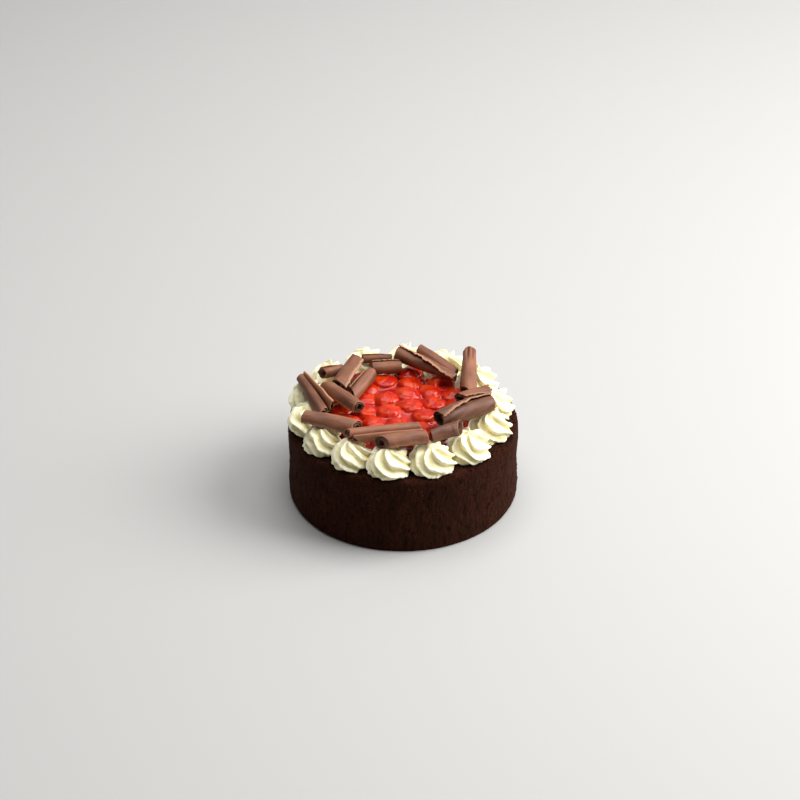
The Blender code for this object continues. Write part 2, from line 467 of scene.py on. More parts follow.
@dataclass(frozen=True)
class SetJuice:
    """Clear, glossy red juice set to a soft gel."""

    name: str = "set_cherry_juice"
    thick: Colour = (0.300, 0.003, 0.003, 1.0)
    thin: Colour = (0.540, 0.020, 0.010, 1.0)
    patch_size: float = 11.0 * MM
    ripple_size: float = 4.0 * MM
    ripple_depth: float = 0.6 * MM
    scatter: Triple = (1.0, 0.15, 0.10)

    def material(self) -> bpy.types.Material:
        """Set up the finish.

        Returns:
            The material.
        """
        shader = Shader(self.name)
        patches = shader.spread(shader.grain(self.patch_size, 3.0), 0.38, 0.66)
        ripples = shader.relief(shader.grain(self.ripple_size, 3.0), self.ripple_depth)
        shader.set(
            Base_Color=shader.blend(patches, self.thick, self.thin),
            Roughness=0.16,
            IOR=1.36,
            Subsurface_Weight=0.25,
            Subsurface_Radius=self.scatter,
            Subsurface_Scale=0.004,
            Transmission_Weight=0.06,
            Coat_Weight=0.35,
            Coat_Roughness=0.10,
            Coat_IOR=1.40,
            Normal=ripples,
        )
        return shader.material


@dataclass(frozen=True)
class MilkChocolate:
    """Satin milk chocolate with scrape lines along the curl, pale worn edges that also carry a painted
    highlight, and painted shade inside the rolls.
    """

    name: str = "milk_chocolate"
    body: Colour = (0.250, 0.091, 0.042, 1.0)
    # Colour inside the rolls: painted shade.
    hollow_shade: Colour = (0.045, 0.011, 0.004, 1.0)
    shade: Colour = (0.100, 0.032, 0.014, 1.0)
    # Pale colour for random scrape lines, and for the painted highlights on edges and rolls.
    bloom_and_highlight: Colour = (0.430, 0.205, 0.115, 1.0)
    scrape_stretch: Triple = (900.0, 50.0, 1000.0)
    cloud_stretch: Triple = (220.0, 50.0, 1000.0)
    scrape_depth: float = 0.12 * MM
    pit_size: float = 0.9 * MM
    pit_depth: float = 0.05 * MM
    scatter: Triple = (1.0, 0.5, 0.3)

    def material(self) -> bpy.types.Material:
        """Set up the finish.

        Returns:
            The material.
        """
        shader = Shader(self.name)
        sheet = shader.attribute("sheet", "Vector")
        tone = shader.attribute("tone")
        scrapes = shader.grain(1.0, 4.0, shader.stretch(sheet, self.scrape_stretch), 0.6)
        clouds = shader.grain(1.0, 3.0, shader.stretch(sheet, self.cloud_stretch), 0.5)
        # Random clouds and the tone value blend the shade colour, a painted shade, into the body colour;
        # the tone is partly each curl's own and partly painted light and shade.
        mix = shader.sum(shader.spread(clouds, 0.32, 0.68, 0.15, 1.0), tone)
        base = shader.blend(shader.spread(mix, 0.0, 1.0), self.shade, self.body)
        # Pale scrape lines at random, then the same pale colour where the mesh marks edges and rolls,
        # partly wear and partly painted highlight.
        base = shader.blend(shader.spread(scrapes, 0.52, 0.80, 0.0, 0.30), base, self.bloom_and_highlight)
        base = shader.blend(shader.attribute("rubbed_and_lit"), base, self.bloom_and_highlight)
        # Painted shade: a tone value well below zero, set on inner turns and on the sheet's inner face,
        # turns the colour nearly black and rougher inside the rolls.
        inside = shader.spread(tone, -0.8, -1.4, 0.0, 0.9)
        base = shader.blend(inside, base, self.hollow_shade)
        lines = shader.relief(scrapes, self.scrape_depth)
        pits = shader.relief(shader.grain(self.pit_size, 3.0), self.pit_depth, lines)
        satin = shader.spread(clouds, 0.3, 0.7, 0.48, 0.62)
        shader.set(
            Base_Color=base,
            Roughness=shader.sum(satin, shader.sum(inside, 0.35, "MULTIPLY")),
            Specular_IOR_Level=0.48,
            Subsurface_Weight=0.04,
            Subsurface_Radius=self.scatter,
            Subsurface_Scale=0.0015,
            Normal=pits,
        )
        return shader.material


@dataclass(frozen=True)
class StudioPaper:
    """Plain pale studio paper."""

    name: str = "studio_paper"
    tone: Colour = (0.440, 0.440, 0.440, 1.0)

    def material(self) -> bpy.types.Material:
        """Set up the finish.

        Returns:
            The material.
        """
        shader = Shader(self.name)
        shader.set(Base_Color=self.tone, Roughness=0.85, Specular_IOR_Level=0.2)
        return shader.material


# ------------------------------------------------------------------ mesh work


def spin_profile(points: Iterable[Pair], steps: int) -> bmesh.types.BMesh:
    """Turn a profile once round the Z axis.

    Args:
        points: Radius and height of each profile point, from the first pole to the last.
        steps: Number of steps in the turn.

    Returns:
        A closed mesh of revolution.
    """
    bm = bmesh.new()
    chain = [bm.verts.new((radius, 0.0, height)) for radius, height in points]
    for first, second in zip(chain, chain[1:]):
        bm.edges.new((first, second))
    bmesh.ops.spin(
        bm, geom=bm.verts[:] + bm.edges[:], cent=(0.0, 0.0, 0.0), axis=(0.0, 0.0, 1.0),
        angle=TAU, steps=steps, use_merge=True, use_duplicate=False,
    )
    bmesh.ops.remove_doubles(bm, verts=bm.verts, dist=WELD)
    bmesh.ops.recalc_face_normals(bm, faces=bm.faces)
    return bm


def finish_piece(
    bm: bmesh.types.BMesh, name: str, material: bpy.types.Material, nodes: tuple[str, ...] = (),
) -> bpy.types.Object:
    """Put a mesh in the scene as a smooth piece that rides on the cake.

    Args:
        bm: The finished mesh; it is freed.
        name: Name of the piece.
        material: Its finish.
        nodes: Solids that the piece stands for.

    Returns:
        The new object.
    """
    for face in bm.faces:
        face.smooth = True
    mesh = bpy.data.meshes.new(name)
    bm.to_mesh(mesh)
    bm.free()
    mesh.materials.append(material)
    piece = bpy.data.objects.new(name, mesh)
    bpy.context.scene.collection.objects.link(piece)
    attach(piece, "root")
    if nodes:
        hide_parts(*nodes)
    return piece


# ------------------------------------------------------------------ sponge


@dataclass
class Sponge:
    """The chocolate cake: a slightly waisted drum with a soft top edge and open crumb."""

    finish: ChocolateCrumb = field(default_factory=ChocolateCrumb)
    node: str = "sponge"
    waist: tuple[Pair, ...] = (
        (2.2, 0.000), (0.5, 0.045), (0.1, 0.180), (0.8, 0.340), (1.4, 0.500),
        (1.0, 0.680), (0.4, 0.850), (0.8, 0.945),
    )
    shoulder_rise: float = 0.945
    edge_round: float = 3.0 * MM
    side_rows: int = 78
    edge_rows: int = 6
    top_rows: int = 37
    around: int = 560
    foot: float = 0.3 * MM
    upright: float = 0.45

    def profile(self) -> list[Pair]:
        """Draw half of the sponge's outline.

        Returns:
            Radius and height of each point, from the middle of the base to the middle of the top.
        """
        low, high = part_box(self.node)
        radius, height = 0.5 * (high.x - low.x), high.z
        points = [(0.0, 0.0), (0.5 * radius, 0.0), (0.93 * radius, 0.0)]
        for row in range(self.side_rows + 1):
            rise = self.shoulder_rise * row / self.side_rows
            points.append((radius - self.inset_at(rise), rise * height))
        shoulder, top = points[-1]
        for step in range(1, self.edge_rows + 1):
            turn = 0.5 * math.pi * step / self.edge_rows
            points.append((
                shoulder - self.edge_round * (1.0 - math.cos(turn)),
                top + (height - self.shoulder_rise * height) * math.sin(turn),
            ))
        reach = points[-1][0]
        points += [(reach - 0.8 * MM * row, height) for row in range(1, self.top_rows + 1)]
        points += [(reach * share, height) for share in (0.50, 0.25, 0.0)]
        return points

    def inset_at(self, rise: float) -> float:
        """Return how far the side lies inside the full radius at a share of the height."""
        insets, heights = zip(*self.waist)
        return float(np.interp(rise, heights, insets)) * MM

    def crumb(self, point: Vector, outward: Vector) -> Vector:
        """Roughen one point of the skin; strengths are in millimetres.

        Args:
            point: Place on the smooth skin.
            outward: Direction that faces away from the crumb.

        Returns:
            The moved point.
        """
        tall = Vector((point.x, point.y, point.z * self.upright))
        swell = 0.30 * wave(point, 34.0 * MM, 1.0)
        lumps = 0.38 * wave(tall, 8.5 * MM, 2.0)
        grains = 0.34 * wave(tall, 2.2 * MM, 3.0)
        pores = -0.9 * smooth_step(0.34, 0.62, wave(tall, 2.4 * MM, 4.0))
        tears = -0.8 * smooth_step(0.34, 0.62, wave(point, 7.5 * MM, 5.0))
        tears *= smooth_step(0.0, 0.4, wave(tall, 1.5 * MM, 6.0))
        return point + outward * ((swell + lumps + grains + pores + tears - 0.15) * MM)

    def build(self) -> bpy.types.Object:
        """Build the sponge.

        Returns:
            The new piece.
        """
        bm = spin_profile(self.profile(), self.around)
        moved = {vert: self.crumb(vert.co, vert.normal) for vert in bm.verts if vert.co.z > self.foot}
        for vert, place in moved.items():
            vert.co = Vector((place.x, place.y, max(0.0, place.z)))
        material = self.finish.material()
        return finish_piece(bm, "chocolate_sponge", material, (self.node,))


@dataclass
class LooseCrumbs:
    """Crumbs that cling to the sponge's side and rim."""

    material: bpy.types.Material
    sponge: Sponge
    node: str = "sponge"
    seed: int = 11
    count: int = 900
    smallest: float = 0.25 * MM
    largest: float = 0.85 * MM
    on_side: float = 0.55
    sunk: float = 0.3 * MM
    rim: Pair = (1.5, 9.0)

    def build(self) -> bpy.types.Object:
        """Build all the crumbs as one piece.

        Returns:
            The new piece.
        """
        chance = random.Random(self.seed)
        low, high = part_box(self.node)
        radius, height = 0.5 * (high.x - low.x), high.z
        bm = bmesh.new()
        for _ in range(self.count):
            angle = chance.uniform(0.0, TAU)
            size = chance.uniform(self.smallest, self.largest)
            if chance.random() < self.on_side:
                rise = chance.betavariate(1.3, 1.0)
                reach = radius - self.sponge.inset_at(0.95 * rise) - self.sunk
                place = Vector((reach, 0.0, max(size, rise * height * 0.95)))
            else:
                place = Vector((radius - chance.uniform(*self.rim) * MM, 0.0, height + 0.3 * size))
            place = Matrix.Rotation(angle, 3, "Z") @ place
            scale = Matrix.Diagonal(Vector([size * chance.uniform(0.7, 1.3) for _ in range(3)])).to_4x4()
            turn = Matrix.Rotation(chance.uniform(0.0, TAU), 4, "X")
            turn = turn @ Matrix.Rotation(chance.uniform(0.0, TAU), 4, "Z")
            matrix = Matrix.Translation(place) @ turn @ scale
            bmesh.ops.create_icosphere(bm, subdivisions=1, radius=1.0, matrix=matrix)
        return finish_piece(bm, "loose_crumbs", self.material)


# ------------------------------------------------------------------ curls


class Roll(Enum):
    """How the sheet of a curl is rolled."""

    SINGLE = "from one edge"
    DOUBLE = "from both edges"


@dataclass(frozen=True)
class CurlPlace:
    """Where a curl's solid lies: both ends of its axis and its half sizes across."""

    start: Vector
    end: Vector
    side: Vector
    rise: Vector
    half_start: Pair
    half_end: Pair

    @classmethod
    def from_node(cls, node: str) -> "CurlPlace":
        """Measure a curl's solid.

        Args:
            node: Name of the solid.

        Returns:
            Its place.
        """
        points = np.array([vert.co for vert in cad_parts[node].data.vertices], float)
        centre = points.mean(0)
        values, vectors = np.linalg.eigh(np.cov((points - centre).T))
        axis = Vector(vectors[:, int(np.argmax(values))])
        if axis.x < 0.0:
            axis.negate()
        side = axis.cross(Vector((0.0, 0.0, 1.0))).normalized()
        rise = side.cross(axis).normalized()
        reach = (points - centre) @ np.array(axis)
        ends = []
        for group in (points[reach < 0.0], points[reach >= 0.0]):
            across = (group - centre) @ np.array([side, rise]).T
            low, high = across.min(0), across.max(0)
            middle = 0.5 * (low + high)
            depth = float(((group - centre) @ np.array(axis)).mean())
            place = Vector(centre) + axis * depth + side * float(middle[0]) + rise * float(middle[1])
            ends.append((place, tuple(0.5 * (high - low))))
        return cls(ends[0][0], ends[1][0], side, rise, ends[0][1], ends[1][1])

    def at(self, share: float) -> tuple[Vector, float, float]:
        """Read the curl's size partway along.

        Args:
            share: Share of the length, from its start.

        Returns:
            The point on the axis, the half width and the half height.
        """
        point = self.start.lerp(self.end, share)
        wide = self.half_start[0] + (self.half_end[0] - self.half_start[0]) * share
        tall = self.half_start[1] + (self.half_end[1] - self.half_start[1]) * share
        return point, wide, tall

    def near(self, point: Vector, reach: float) -> bool:
        """Test whether the curl comes close to a point.

        Args:
            point: The point.
            reach: How close it has to come.

        Returns:
            Whether it does.
        """
        line = self.end - self.start
        share = min(1.0, max(0.0, (point - self.start).dot(line) / line.length_squared))
        return (point - self.start - line * share).length < reach + max(self.half_start + self.half_end)

    def clear_of(self, point: Vector, gap: float) -> Vector:
        """Move a point of soft cream out of the space that the curl takes.

        Args:
            point: Place to test.
            gap: Space to keep between the two.

        Returns:
            The same place, or the nearest one that is clear.
        """
        line = self.end - self.start
        share = (point - self.start).dot(line) / line.length_squared
        if share < -0.04 or share > 1.04:
            return point
        centre, wide, tall = self.at(min(1.0, max(0.0, share)))
        offset = point - centre
        x, y = offset.dot(self.side), offset.dot(self.rise)
        wide, tall = wide + gap, tall + gap
        level = math.hypot(x / wide, y / tall)
        if level >= 1.0 or level < 1e-6:
            return point
        grow = 1.0 / level
        return point + self.side * (x * (grow - 1.0)) + self.rise * (y * (grow - 1.0))


@dataclass
class Curl:
    """One chocolate curl: a thin scraped sheet that has rolled up on itself.

    Directions across a curl are in degrees: 0 is level and to the near side, 90 is up. Pairs are
    for the curl's start and end. Lengths along the curl and the bow are in millimetres.

    Attributes:
        letter: Letter of the solid that the curl stands for.
        roll: Whether the sheet is rolled from one edge or from both.
        facing: Direction of the free edge, halfway along.
        drift: How far that direction turns from start to end.
        turns: Turns of the roll, or of each roll where there are two.
        lift: How far the free edge stands off, as a share of the radius.
        gap: Space between two rolls, as a share of the width.
        split: Share of the width that the far roll takes.
        torn: How deeply each end is torn.
        ragged: How uneven the free edge is.
        flutes: Depth of the folds at the end.
        bow: How far the middle arches up.
        belly: How much wider the middle is than the ends.
        tone: Added to the share of the body colour, partly the curl's own tone and partly painted light and
            shade for the whole curl.
        edge_wear_and_highlight: How much the free edge is made pale, partly wear and partly a painted
            highlight.
        cut: Slant of each end.
        girth: Size across, against that of the solid.
        reach: How far each end goes past the solid.
        settle: How far each end drops forward and down.
        lesser: Height of the smaller of two rolls, against the larger.
        painted_light: How much the smaller of two rolls is made pale, a painted light on it.
        wall: Thickness of the sheet.
        coil: How many more turns the larger of two rolls has.
        around: Columns of the sheet.
        rows: Rows of the sheet.
    """

    BRIDGE: ClassVar[float] = 0.07
    SAMPLE: ClassVar[float] = 0.002
    SHEET_WIDTH: ClassVar[float] = 60.0 * MM
    EDGE_ROUND: ClassVar[float] = 0.45 * MM
    SLIDE: ClassVar[Vector] = Vector((0.0, -0.6, -0.8))

    letter: str
    roll: Roll = Roll.SINGLE
    facing: float = 90.0
    drift: float = 25.0
    turns: float = 1.9
    lift: Pair = (0.04, 0.04)
    gap: Pair = (0.04, 0.04)
    split: float = 0.6
    torn: Pair = (0.5, 0.5)
    ragged: float = 0.012
    flutes: float = 0.0
    bow: float = 0.4
    belly: float = 0.0
    # Partly the curl's own tone, partly painted light and shade.
    tone: float = 0.0
    edge_wear_and_highlight: float = 0.5
    cut: Pair = (0.0, 0.0)
    girth: Pair = (1.08, 1.08)
    reach: Pair = (0.0, 0.0)
    settle: Pair = (0.0, 0.0)
    lesser: float = 0.78
    painted_light: float = 0.0
    wall: float = 1.05 * MM
    coil: float = 1.0
    around: int = 120
    rows: int = 60

    def single(self, share: float, run: float, half: Pair) -> Pair:
        """Read the section of a sheet rolled from one edge.

        Args:
            share: 0 at the inner edge and 1 at the outer, free edge.
            run: Place along the curl.
            half: Half width and half height of the section.

        Returns:
            Place across the curl and up, in metres.
        """
        seed = float(ord(self.letter))
        facing = self.facing + self.drift * (run - 0.5)
        facing += 9.0 * noise.noise(Vector((run * 3.0, seed, 4.0)))
        lift = self.lift[0] + (self.lift[1] - self.lift[0]) * smooth_step(0.15, 0.80, run)
        wound = (1.0 - share) * abs(self.turns)
        radius = max(0.18, 1.10 - 0.27 * wound + 0.022 * math.sin(9.0 * wound + 5.0 * run))
        radius += lift * max(0.0, 1.0 - 3.6 * wound) ** 2
        angle = math.radians(facing) + TAU * wound * math.copysign(1.0, self.turns)
        flute = self.flutes * smooth_step(0.5, 1.0, run)
        tip = smooth_step(0.90, 1.0, run) if self.flutes > 0.0 else 0.0
        groove = (0.5 + 0.5 * math.cos(7.0 * angle)) ** 2
        radius *= 1.0 - flute * (1.0 - 0.8 * tip) * groove * smooth_step(0.9, 0.2, wound)
        radius *= 1.0 - 0.38 * tip**2
        return radius * math.cos(angle) * half[0], radius * math.sin(angle) * half[1]

    def double(self, share: float, run: float, half: Pair) -> Pair:
        """Read the section of a sheet rolled from both edges, with a groove between the rolls.

        Args:
            share: 0 at the inner edge of the far roll and 1 at that of the near roll.
            run: Place along the curl.
            half: Half width and half height of the section.

        Returns:
            Place across the curl and up, in metres.
        """
        gap = self.gap[0] + (self.gap[1] - self.gap[0]) * run
        far, near = self.split * (1.0 - gap), (1.0 - self.split) * (1.0 - gap)
        far_is_large = self.split >= 0.5
        tall = {-1.0: 1.0 if far_is_large else self.lesser, 1.0: self.lesser if far_is_large else 1.0}

        def on_roll(side: float, wound: float) -> Pair:
            """Follow one of the two rolls.

            Args:
                side: -1 for the far roll and 1 for the near one.
                wound: Turns from the bridge between them.

            Returns:
                Place across the curl, as shares of its half sizes.
            """
            size = far if side < 0.0 else near
            radius = max(0.18, 1.0 - 0.34 * wound)
            angle = side * TAU * wound - 0.5 * math.pi
            x = side * (1.0 - size) + size * radius * math.cos(angle)
            return x, -1.0 + tall[side] * (1.0 + radius * math.sin(angle))

        place = (share - 0.5) * 2.0
        if abs(place) < self.BRIDGE:
            first, second = on_roll(-1.0, 0.0), on_roll(1.0, 0.0)
            mix = 0.5 + 0.5 * place / self.BRIDGE
            x, y = first[0] + (second[0] - first[0]) * mix, first[1] + (second[1] - first[1]) * mix
        else:
            side = math.copysign(1.0, place)
            large = (side < 0.0) == far_is_large
            wound = (abs(place) - self.BRIDGE) / (1.0 - self.BRIDGE) * self.turns
            x, y = on_roll(side, wound * (self.coil if large else 1.0))
        return x * half[0], y * half[1]

    def section(self, share: float, run: float, half: Pair) -> Vector:
        """Read the middle of the sheet across the curl, with its unevenness.

        Args:
            share: Place across the sheet, from its first edge to its last.
            run: Place along the curl.
            half: Half width and half height of the curl there.

        Returns:
            Place across the curl and up, in metres.
        """
        seed = float(ord(self.letter))
        girth = self.girth[0] + (self.girth[1] - self.girth[0]) * run
        inner = (girth * half[0] - 0.5 * self.wall, girth * half[1] - 0.5 * self.wall)
        x, y = (self.single if self.roll is Roll.SINGLE else self.double)(share, run, inner)
        across, up = x / half[0], y / half[1]
        uneven = 1.0 + self.belly * (math.sin(math.pi * run) - 0.5)
        uneven += 0.07 * noise.noise(Vector((run * 3.0, seed, 2.0)))
        uneven += 0.06 * noise.noise(Vector((run * 3.5, across * 1.1, up * 1.1 + seed)))
        uneven += 0.015 * noise.noise(Vector((run * 14.0, across * 5.0, up * 5.0 + seed)))
        return Vector((x, y)) * uneven

    def sheet_point(self, place: CurlPlace, share: float, run: float, face: float) -> Vector:
        """Place one point of the rolled sheet.

        Args:
            place: Where the curl lies.
            share: Place across the sheet, from its first edge to its last.
            run: Place along the curl, from its start to its end.
            face: -1 on the sheet's first face and 1 on its second.

        Returns:
            The point.
        """
        seed = float(ord(self.letter))
        centre, wide, tall = place.at(run)
        rough = noise.noise(Vector((run * 9.0, seed, 9.0)))
        rough += 0.7 * noise.noise(Vector((run * 31.0, seed, 5.0)))
        read = share * (1.0 + self.ragged * rough) if self.roll is Roll.SINGLE else share
        here = self.section(read, run, (wide, tall))
        before = self.section(read - self.SAMPLE, run, (wide, tall))
        step = self.section(read + self.SAMPLE, run, (wide, tall)) - before
        normal = Vector((-step.y, step.x)).normalized() if step.length > 1e-9 else Vector((0.0, 1.0))
        length, width = (place.end - place.start).length, self.SHEET_WIDTH
        rim = min(run * length, (1.0 - run) * length, share * width, (1.0 - share) * width)
        round_off = math.sqrt(max(0.0, 1.0 - (1.0 - min(1.0, rim / self.EDGE_ROUND)) ** 2))
        thick = self.wall * (0.35 + 0.65 * round_off)
        thick *= 1.0 + 0.12 * noise.noise(Vector((run * 7.0, share * 5.0, seed)))
        here += normal * (0.5 * thick * face)
        point = centre + place.side * here.x + place.rise * here.y
        point += place.rise * (self.bow * MM * (math.sin(math.pi * run) - 0.6))
        rag = noise.noise(Vector((share * 9.0, seed, 7.0)))
        rag += 0.6 * noise.noise(Vector((share * 27.0, seed, 8.0)))
        shift = self.torn[0] * (0.4 + rag) * smooth_step(0.16, 0.0, run)
        shift -= self.torn[1] * (0.4 + rag) * smooth_step(0.84, 1.0, run)
        slant = here.x / wide + 0.3 * here.y / tall
        shift += self.cut[0] * slant * smooth_step(0.5, 0.0, run)
        shift -= self.cut[1] * slant * smooth_step(0.5, 1.0, run)
        shift += self.reach[1] * run - self.reach[0] * (1.0 - run)
        point += self.SLIDE * ((self.settle[0] + (self.settle[1] - self.settle[0]) * run) * MM)
        return point + (place.end - place.start).normalized() * (shift * MM)

    def build(self, material: bpy.types.Material) -> bpy.types.Object:
        """Build the curl in the place of its solid.

        Args:
            material: The chocolate finish.

        Returns:
            The new piece.
        """
        place = CurlPlace.from_node(f"curl_{self.letter}")
        length = (place.end - place.start).length
        bm = bmesh.new()
        bmesh.ops.create_grid(bm, x_segments=self.around, y_segments=self.rows, size=0.5)
        bmesh.ops.translate(bm, verts=bm.verts, vec=(0.5, 0.5, 0.0))
        bmesh.ops.solidify(bm, geom=bm.faces[:] + bm.edges[:] + bm.verts[:], thickness=1.0)
        levels = [vert.co.z for vert in bm.verts]
        middle = 0.5 * (min(levels) + max(levels))
        sheet = bm.verts.layers.float_vector.new("sheet")
        rubbed_and_lit = bm.verts.layers.float.new("rubbed_and_lit")
        tone = bm.verts.layers.float.new("tone")
        for vert in bm.verts:
            share, run = self.crowd(vert.co.x), self.crowd(vert.co.y)
            face = 1.0 if vert.co.z > middle else -1.0
            vert[sheet] = Vector((share * self.turns * 0.030, run * length, 0.003 * ord(self.letter)))
            # Pale rims at the ends and on the free edge, partly wear and partly painted highlight; the
            # smaller of two rolls gets painted light.
            pale_edge_and_highlight = smooth_step(0.02, 0.0, min(run, 1.0 - run)) * 0.3
            if self.roll is Roll.SINGLE:
                wound, inside = abs(self.turns) * (1.0 - share), face < 0.0
                pale_edge_and_highlight = max(pale_edge_and_highlight, self.edge_wear_and_highlight * smooth_step(0.97, 0.995, share))
            else:
                wound, inside = abs(self.turns) * abs(2.0 * share - 1.0), face > 0.0
                small = share < 0.44 if self.split < 0.5 else share > 0.56
                pale_edge_and_highlight = max(pale_edge_and_highlight, self.painted_light if small else 0.0)
            vert[rubbed_and_lit] = pale_edge_and_highlight
            # Painted shade: inner turns of the roll are darkened, and the inner face below is darkened
            # more.
            vert[tone] = self.tone - 0.9 * smooth_step(0.9, 1.25, wound)
            if inside:
                vert[tone] -= 1.2 * smooth_step(0.02, 0.2, wound)
            vert.co = self.sheet_point(place, share, run, face)
        bmesh.ops.recalc_face_normals(bm, faces=bm.faces)
        name = f"chocolate_curl_{self.letter}"
        return finish_piece(bm, name, material, (f"curl_{self.letter}",))

    @staticmethod
    def crowd(value: float) -> float:
        """Move evenly spaced rows closer together towards both edges of the sheet."""
        return value - 0.9 * math.sin(TAU * value) / TAU


def curls() -> list[Curl]:
    """List the curls with what sets each one apart.

    Returns:
        The sixteen curls.
    """
    both = Roll.DOUBLE
    return [
        Curl(
            "a", both, split=0.23, gap=(0.00, 0.11), turns=1.05, torn=(0.8, 1.6), tone=-0.35, bow=0.8,
            cut=(2.0, -4.0), girth=(1.24, 1.48), lesser=1.10, painted_light=1.0, coil=1.7, reach=(0.0, 4.5),
        ),
        Curl(
            "b", facing=-30.0, drift=-16.0, turns=2.6, lift=(0.03, 0.18), torn=(0.5, 2.6), ragged=0.02,
            bow=0.9, cut=(-1.0, 2.5), reach=(0.0, 2.0),
        ),
        Curl(
            "c", both, split=0.74, gap=(0.05, 0.00), turns=1.1, torn=(3.0, 1.2), tone=0.25,
            cut=(3.5, -1.0), girth=(1.04, 1.14), coil=1.8,
        ),
        Curl(
            "d", facing=-14.0, drift=10.0, turns=2.7, lift=(0.05, 0.06), torn=(0.5, 0.4), tone=0.05,
            bow=0.7, cut=(4.5, -1.0), girth=(1.10, 1.04),
        ),
        Curl(
            "e", facing=200.0, drift=-20.0, turns=2.5, lift=(0.04, 0.10), torn=(0.5, 0.9), tone=-0.55,
            cut=(-1.0, 4.0), girth=(1.08, 1.14),
        ),
        Curl(
            "f", facing=86.0, drift=84.0, turns=2.1, lift=(0.05, 0.14), torn=(2.0, 1.4), tone=-0.45,
            belly=0.24, edge_wear_and_highlight=0.8, cut=(1.5, 1.0), girth=(1.12, 1.08), reach=(4.0, 0.5),
        ),
        Curl(
            "g", facing=42.0, drift=-30.0, turns=1.3, lift=(0.38, 0.20), torn=(2.2, 3.0), ragged=0.014,
            cut=(2.0, 1.5), girth=(1.10, 1.15),
        ),
        Curl(
            "h", facing=-20.0, drift=20.0, turns=2.4, lift=(0.03, 0.10), torn=(0.5, 1.2), flutes=0.60,
            cut=(-5.0, 0.0), girth=(1.20, 1.02), reach=(3.0, 3.5),
        ),
        Curl(
            "i", facing=66.0, drift=-90.0, turns=2.4, lift=(0.0, 0.55), torn=(0.6, 1.6), ragged=0.024,
            tone=-0.20, edge_wear_and_highlight=0.9, cut=(1.5, 0.0), girth=(1.12, 1.30),
        ),
        Curl(
            "j", facing=12.0, drift=-20.0, turns=2.5, lift=(0.02, 0.40), torn=(0.6, 1.4), tone=-0.15,
            bow=0.9, cut=(1.0, -1.5), reach=(0.0, 2.0), settle=(0.0, 4.0),
        ),
        Curl("k", facing=110.0, turns=2.6, torn=(0.7, 1.0), tone=-0.25, cut=(1.0, 0.5)),
        Curl(
            "l", facing=24.0, drift=16.0, turns=2.4, lift=(0.10, 0.16), torn=(2.0, 1.6), edge_wear_and_highlight=0.8,
            cut=(-3.0, 2.0), girth=(1.06, 1.06),
        ),
        Curl(
            "m", facing=120.0, drift=5.0, turns=2.4, torn=(0.6, 1.4), tone=-0.15, cut=(0.0, -1.0),
            reach=(0.0, 2.0),
        ),
        Curl(
            "n", facing=150.0, drift=12.0, turns=2.6, torn=(0.9, 0.8), tone=-0.05, cut=(-5.0, 1.5),
            girth=(1.12, 1.06), reach=(1.5, 0.0),
        ),
        Curl(
            "o", facing=-26.0, drift=-10.0, turns=2.3, lift=(0.10, 0.22), torn=(0.8, 0.9), tone=-0.15,
            bow=0.8, edge_wear_and_highlight=0.9, cut=(-1.5, 1.5), girth=(1.06, 0.94),
        ),
        Curl("p", facing=125.0, turns=2.4, torn=(1.3, 0.7), tone=-0.20, cut=(2.0, 0.0), reach=(0.0, 4.0)),
    ]


